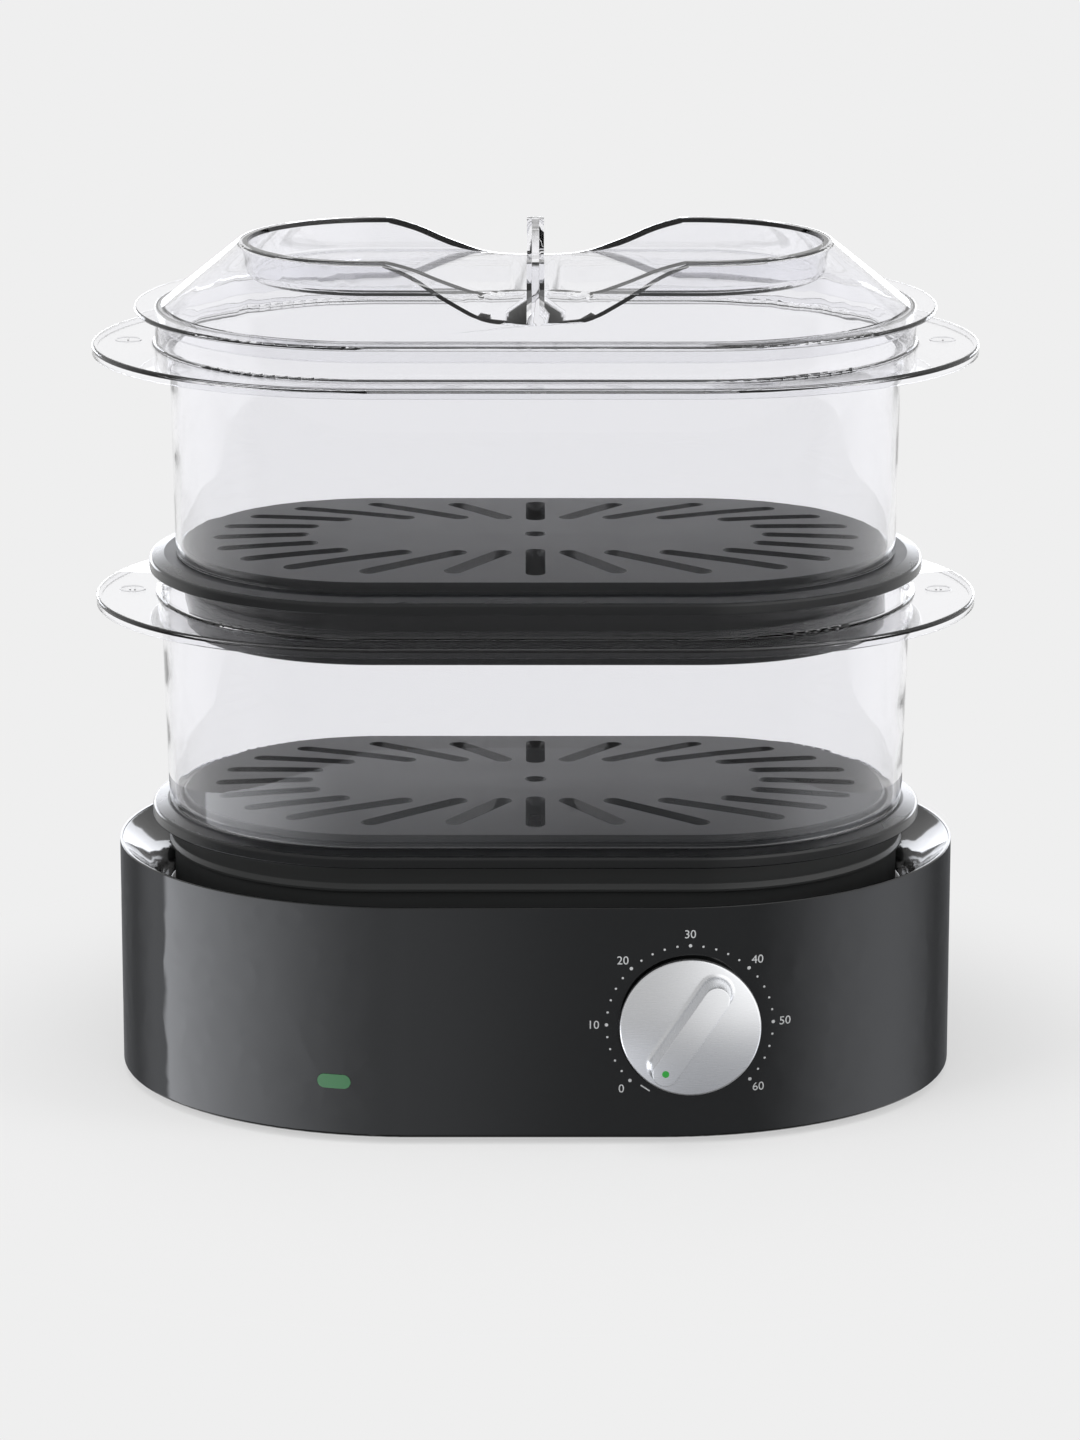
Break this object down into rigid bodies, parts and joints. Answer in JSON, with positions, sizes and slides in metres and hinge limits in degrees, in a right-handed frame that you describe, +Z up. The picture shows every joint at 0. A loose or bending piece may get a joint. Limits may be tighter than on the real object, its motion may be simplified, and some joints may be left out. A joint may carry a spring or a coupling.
{
  "type": "electric food steamer",
  "caption": "Oval electric food steamer: dark base with water tank and timer knob, clear stacked bowls on slotted trays, domed lid with grip fin.",
  "frame": {"origin": "on the floor under the feet, at the middle of the overall width and depth", "axes": "+Z up, the front with the knob and the lamp faces -Y, +X to the right seen from the front"},
  "size_m": [0.33, 0.2246, 0.3184],
  "materials": {
    "gloss_black": "glossy",
    "matte_black": "satin",
    "clear_plastic": "clear polished",
    "rubber": "matte",
    "steel": "brushed",
    "aluminium": "satin",
    "knob_metal": "brushed",
    "green_dot": "printed",
    "green_lens": "clear tinted",
    "lamp_glass": "clear",
    "inner_plastic": "matte",
    "fuse_white": "matte",
    "wire": "matte"
  },
  "bodies": {
    "base": {"outer_casing": "gloss_black", "reservoir_deck": "gloss_black", "water_reservoir": "gloss_black", "bottom_cover": "matte_black", "rubber_feet": "rubber", "cover_screws": "steel", "heater_plate": "steel", "heater_seal": "rubber", "heating_element": "steel", "heater_clamp": "steel", "thermostat": "aluminium", "thermal_fuse": "fuse_white", "timer_housing": "inner_plastic", "timer_bracket": "steel", "timer_screws": "steel", "timer_bell": "steel", "lamp_lens": "green_lens", "neon_lamp": "lamp_glass", "lamp_holder": "inner_plastic", "cord_bush": "rubber", "terminal_block": "inner_plastic", "wiring": "wire"},
    "knob": {"timer_shaft": "steel", "knob_core": "matte_black", "knob_cap": "knob_metal", "pointer_dot": "green_dot"},
    "drip": {"drip_tray": "matte_black"},
    "tray_lower": {"lower_tray": "matte_black"},
    "bowl_lower": {"lower_bowl": "clear_plastic"},
    "tray_upper": {"upper_tray": "matte_black"},
    "bowl_upper": {"upper_bowl": "clear_plastic"},
    "cover": {"lid": "clear_plastic"}
  },
  "joints": [
    {"name": "timer_turn", "type": "hinge", "parent": "base", "child": "knob", "pos_m": [0.0565, -0.09677, 0.0458], "axis": [0, 1, 0], "range_deg": [0, 280]},
    {"name": "drip_tray_lift", "type": "slide", "parent": "base", "child": "drip", "axis": [0, 0, 1], "range_m": [0, 0.05]},
    {"name": "lower_tray_lift", "type": "slide", "parent": "drip", "child": "tray_lower", "axis": [0, 0, 1], "range_m": [0, 0.05]},
    {"name": "lower_bowl_lift", "type": "slide", "parent": "tray_lower", "child": "bowl_lower", "axis": [0, 0, 1], "range_m": [0, 0.05]},
    {"name": "upper_tray_lift", "type": "slide", "parent": "bowl_lower", "child": "tray_upper", "axis": [0, 0, 1], "range_m": [0, 0.05]},
    {"name": "upper_bowl_lift", "type": "slide", "parent": "tray_upper", "child": "bowl_upper", "axis": [0, 0, 1], "range_m": [0, 0.05]},
    {"name": "lid_lift", "type": "slide", "parent": "bowl_upper", "child": "cover", "axis": [0, 0, 1], "range_m": [0, 0.05]}
  ]
}
